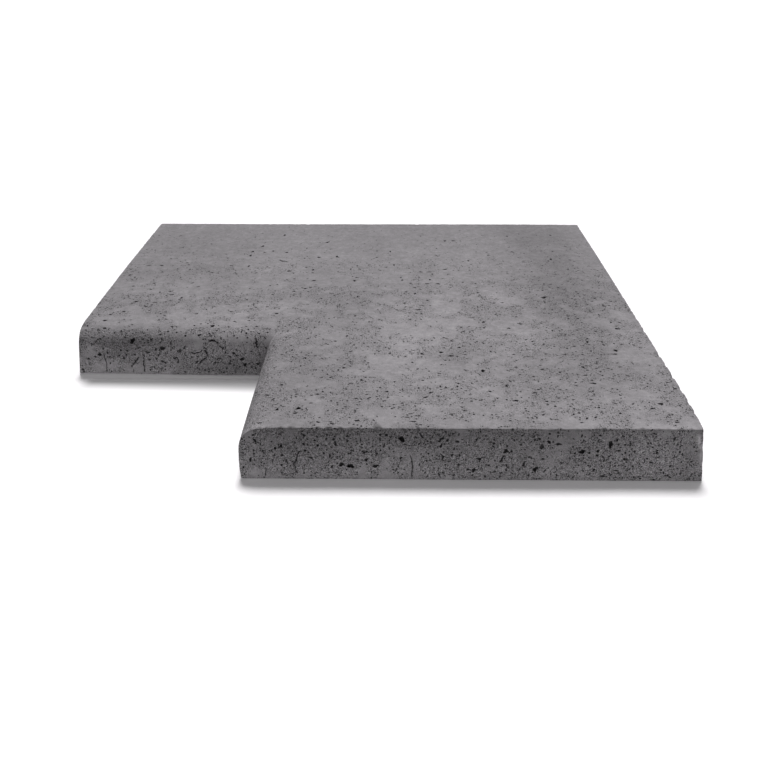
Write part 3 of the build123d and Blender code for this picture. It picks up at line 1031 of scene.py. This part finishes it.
# Round pores where the surface cuts small bubbles: one bubble for each cell of a Voronoi
# pattern, with a random radius that is nothing for most cells. Gives 1 inside a pore
def poreMask(tree, place, chance, cell, largest, seed):
    moved = addNode(tree, "VectorMath", (place, (seed, seed, seed)), operation="ADD")[0]
    cells = addNode(tree, "TexVoronoi", {"Vector": moved, "Scale": mm / cell})
    random = addNode(tree, "SeparateColor", (cells["Color"],))[0]
    left = addNode(tree, "Math", (chance, random), operation="SUBTRACT", use_clamp=True)[0]
    share = addNode(tree, "Math", (left, chance), operation="DIVIDE")[0]
    root = addNode(tree, "Math", (share,), operation="SQRT")[0]
    radius = addNode(tree, "Math", (root, largest / cell), operation="MULTIPLY")[0]
    return riseAbove(tree, radius, cells["Distance"], concrete["poreSharpness"])


# The base tone is multiplied by 1 plus a share of each mask, and the relief adds up a height of each
# mask. The masks are clouds, sand, specks, pores, crumbs and the pits of the mesh, and the darkening
# of specks, pores and pits is painted shade
def wetCastConcrete():
    material, tree = newMaterial("wetCastConcrete")
    place = addNode(tree, "TexCoord")["Object"]
    marks = {
        name: addNode(tree, "Attribute", attribute_name=name)["Fac"]
        for name in ("pit", "tone", "upright", "porous")
    }
    tints, reliefs = [], []
    size, strength = concrete["raggedEdge"]
    ragged = strayNoise(tree, place, size, 3.0)
    ragged = addNode(tree, "Math", (ragged, strength, 1.0), operation="MULTIPLY_ADD")[0]
    porous = addNode(tree, "Math", (marks["porous"], ragged), operation="MULTIPLY")[0]
    times, plus = concrete["porousSpan"]
    porous = addNode(tree, "Math", (porous, times, plus), operation="MULTIPLY_ADD", use_clamp=True)[0]
    darker = concrete["porousDarkness"]
    shade = addNode(tree, "Math", (porous, -darker, 1 + darker / 2), operation="MULTIPLY_ADD")[0]
    shade = addNode(tree, "Math", (shade, marks["tone"]), operation="MULTIPLY")[0]

    most, less = concrete["clearness"]
    clear = addNode(tree, "Math", (porous, -less, most), operation="MULTIPLY_ADD")[0]
    for size, share in concrete["clouds"]:
        cloud = (strayNoise(tree, place, size), clear)
        tints.append((addNode(tree, "Math", cloud, operation="MULTIPLY")[0], share))

    for size, smooth, rough, steep in concrete["sand"]:
        coarse = addNode(tree, "Math", (marks["upright"], steep, rough), operation="MULTIPLY_ADD")[0]
        coarse = addNode(tree, "Math", (porous, coarse, smooth), operation="MULTIPLY_ADD")[0]
        sand = (strayNoise(tree, place, size, 1.0), coarse)
        grain = addNode(tree, "Math", sand, operation="MULTIPLY")[0]
        tints.append((grain, 1.0))
    reliefs.append((grain, concrete["sandRelief"]))

    look = concrete["specks"]
    speckFrom = (porous, -look["lowerWherePorous"], look["from"])
    speckFrom = addNode(tree, "Math", speckFrom, operation="MULTIPLY_ADD")[0]
    speck = riseAbove(tree, strayNoise(tree, place, look["size"]), speckFrom, look["sharpness"])
    tints.append((speck, -concrete["speckDarkness"]))
    reliefs.append((speck, -concrete["speckDepth"]))

    size, push = concrete["poreWobble"]
    wobble = addNode(tree, "TexNoise", {"Vector": place, "Scale": mm / size, "Detail": 1.0})["Color"]
    pushed = (wobble, (push / mm,) * 3, place)
    wobbled = addNode(tree, "VectorMath", pushed, operation="MULTIPLY_ADD")[0]
    for cell, largest, share, more, darkness, seed in concrete["pores"]:
        chance = addNode(tree, "Math", (marks["upright"], more, share), operation="MULTIPLY_ADD")[0]
        chance = addNode(tree, "Math", (chance, porous), operation="MULTIPLY")[0]
        pore = poreMask(tree, wobbled, chance, cell, largest, seed)
        tints.append((pore, -darkness))
        reliefs.append((pore, -largest))

    look = concrete["crumbs"]
    moved = addNode(tree, "VectorMath", (place, crumbPlace), operation="ADD")[0]
    crumb = riseAbove(tree, strayNoise(tree, moved, look["size"]), look["from"], look["sharpness"])
    tints.append((crumb, concrete["crumbLightness"]))
    # painted shade in the pits and tracks of the mesh
    pit = riseAbove(tree, marks["pit"], 0.0, concrete["pitSharpness"])
    tints.append((pit, -concrete["pitPaintedShade"]))

    for mask, share in tints:
        factor = addNode(tree, "Math", (mask, share, 1.0), operation="MULTIPLY_ADD")[0]
        shade = addNode(tree, "Math", (shade, factor), operation="MULTIPLY")[0]
    height = 0.0
    for mask, rise in reliefs:
        height = addNode(tree, "Math", (mask, rise / mm, height), operation="MULTIPLY_ADD")[0]
    paste = linearColour(concrete["paste"])[:3]
    colour = addNode(tree, "VectorMath", {0: paste, "Scale": shade}, operation="SCALE")[0]
    bump = addNode(tree, "Bump", {"Height": height, "Distance": 1.0, "Strength": 1.0})[0]
    shader = addNode(tree, "BsdfPrincipled", {
        "Base Color": colour,
        "Roughness": concrete["roughness"],
        "IOR": concrete["ior"],
        "Normal": bump,
    })[0]
    addNode(tree, "OutputMaterial", (shader,))
    return material


stonePiece.data.materials.append(wetCastConcrete())
print("wet-cast concrete made")

# Camera where the photograph was taken from, worked out from the stone's outline
camera = {
    "place": (0.02937, -0.80483, 0.35342),
    "pitchDown": 26.53,
    "yaw": 0.675,
    "focalPixels": 912.6,
    "framePixels": 768,
    "sensorWidth": 36.0,
    "clip": (0.01, 60.0),
}

# A soft light high behind the stone, so that its shadow falls to the front, with a pale sky and
# the light that a white table sends up round the stone. Lengths here are in metres
studio = {
    "keyElevation": 62.0,
    "keyStrength": 2.69,
    "keySize": 19.0,
    "sky": 0.055,  # at the horizon
    "skyRise": 0.29,  # how much brighter it is overhead
    "skyLean": -0.05,  # a little darker behind the stone than before it
    "white": (1.0, 0.983, 1.0, 1.0),
    "table": 1.12,
    "tableReach": 8.0,
    "glow": 1.33,
    "glowShares": (0.45, 1.0, 0.08),  # at the foot, further out, and beyond
    "glowReach": (0.015, 0.032, 0.065),  # the distances where those begin
}

# The strip of the table where the back arm's shadow reached further in the photograph than this
# light casts it. It begins and ends softly, between two distances from the nosing's line
armShade = {
    "darkness": 0.66,
    "begins": (0.0055, 0.0155),
    "ends": (0.0165, 0.0375),
    "turn": 0.045,  # how much further it ends for each metre to the right of its middle
    "middle": -0.16,
    "leftEnd": (-0.248, -0.232),
    "rightEnd": (-0.075, -0.06),
}


def makeCamera():
    data = bpy.data.cameras.new("photoCamera")
    data.sensor_width = camera["sensorWidth"]
    data.lens = camera["focalPixels"] / camera["framePixels"] * data.sensor_width
    data.clip_start, data.clip_end = camera["clip"]
    made = bpy.data.objects.new("photoCamera", data)
    made.location = camera["place"]
    made.rotation_euler = (math.radians(90 - camera["pitchDown"]), 0, math.radians(camera["yaw"]))
    bpy.context.scene.collection.objects.link(made)
    bpy.context.scene.camera = made


def makeKeyLight():
    data = bpy.data.lights.new("keyLight", "SUN")
    data.energy = studio["keyStrength"]
    data.angle = math.radians(studio["keySize"])
    made = bpy.data.objects.new("keyLight", data)
    made.rotation_euler = (math.radians(studio["keyElevation"] - 90), 0, 0)
    bpy.context.scene.collection.objects.link(made)


# White to the camera, and a pale sky to everything else
def makeWorld():
    world = bpy.data.worlds.new("studio")
    bpy.context.scene.world = world
    world.use_nodes = True
    tree = world.node_tree
    tree.nodes.clear()
    direction = addNode(tree, "TexCoord")["Generated"]
    _, back, up = addNode(tree, "SeparateXYZ", (direction,))
    strength = (up, studio["skyRise"], studio["sky"])
    strength = addNode(tree, "Math", strength, operation="MULTIPLY_ADD")[0]
    strength = addNode(tree, "Math", (back, studio["skyLean"], strength), operation="MULTIPLY_ADD")[0]
    sky = addNode(tree, "Background", {"Color": (1, 1, 1, 1), "Strength": strength})[0]
    white = addNode(tree, "Background", {"Color": studio["white"], "Strength": 1.0})[0]
    seen = addNode(tree, "LightPath")["Is Camera Ray"]
    mixed = addNode(tree, "MixShader", (seen, sky, white))[0]
    addNode(tree, "OutputWorld", (mixed,))


# A value times several smooth steps, each from low to high while its own measure goes from start
# to end
def timesSteps(tree, result, *steps):
    for measure, (start, end), (low, high) in steps:
        step = addNode(tree, "MapRange", {
            "Value": measure, "From Min": start, "From Max": end, "To Min": low, "To Max": high,
        }, interpolation_type="SMOOTHSTEP")[0]
        result = addNode(tree, "Math", (step, result), operation="MULTIPLY")[0]
    return result


# White table: the camera sees it with the stone's shadow and the arm's strip, and the stone gets
# the light of a bright strip round its foot
def makeTable():
    reach = studio["tableReach"]
    mesh = bpy.data.meshes.new("table")
    corners = [(-reach, -reach, 0), (reach, -reach, 0), (reach, reach, 0), (-reach, reach, 0)]
    mesh.from_pydata(corners, [], [(0, 1, 2, 3)])
    table = bpy.data.objects.new("table", mesh)
    bpy.context.scene.collection.objects.link(table)
    material, tree = newMaterial("whiteTable")
    place = addNode(tree, "TexCoord")["Object"]
    x, y, _ = addNode(tree, "SeparateXYZ", (place,))

    sides = [addNode(tree, "Math", (value,), operation="ABSOLUTE")[0] for value in (x, y)]
    furthest = addNode(tree, "Math", sides, operation="MAXIMUM")[0]
    outer = addNode(tree, "Math", (furthest, float(cadHigh[0])), operation="SUBTRACT")[0]
    fromLines = [
        addNode(tree, "Math", (nosingLine / mm, value), operation="SUBTRACT")[0] for value in (x, y)
    ]
    inNotch = addNode(tree, "Math", fromLines, operation="MINIMUM")[0]
    gap = addNode(tree, "Math", (outer, inNotch), operation="MAXIMUM")[0]
    atFoot, near, far = studio["glowReach"]
    foot, full, beyond = studio["glowShares"]
    glow = timesSteps(
        tree, studio["glow"], (gap, (0.0, atFoot), (foot, full)), (gap, (near, far), (1.0, beyond)),
    )

    sideways = addNode(tree, "Math", (x, armShade["middle"]), operation="SUBTRACT")[0]
    further = addNode(tree, "Math", (sideways, armShade["turn"]), operation="MULTIPLY")[0]
    edge = addNode(tree, "Math", (fromLines[1], further), operation="SUBTRACT")[0]
    shade = timesSteps(
        tree, armShade["darkness"],
        (fromLines[1], armShade["begins"], (0.0, 1.0)), (edge, armShade["ends"], (1.0, 0.0)),
        (x, armShade["leftEnd"], (0.0, 1.0)), (x, armShade["rightEnd"], (1.0, 0.0)),
    )
    level = (shade, -studio["table"], studio["table"])
    level = addNode(tree, "Math", level, operation="MULTIPLY_ADD")[0]
    white = {0: studio["white"][:3], "Scale": level}
    white = addNode(tree, "VectorMath", white, operation="SCALE")[0]
    lit = addNode(tree, "BsdfDiffuse", (white,))[0]
    glowing = addNode(tree, "Emission", {"Strength": glow})[0]
    seen = addNode(tree, "LightPath")["Is Camera Ray"]
    mixed = addNode(tree, "MixShader", (seen, glowing, lit))[0]
    addNode(tree, "OutputMaterial", (mixed,))
    mesh.materials.append(material)


makeCamera()
makeKeyLight()
makeWorld()
makeTable()
bpy.context.scene.view_settings.view_transform = "Standard"
print("camera, light and table made")
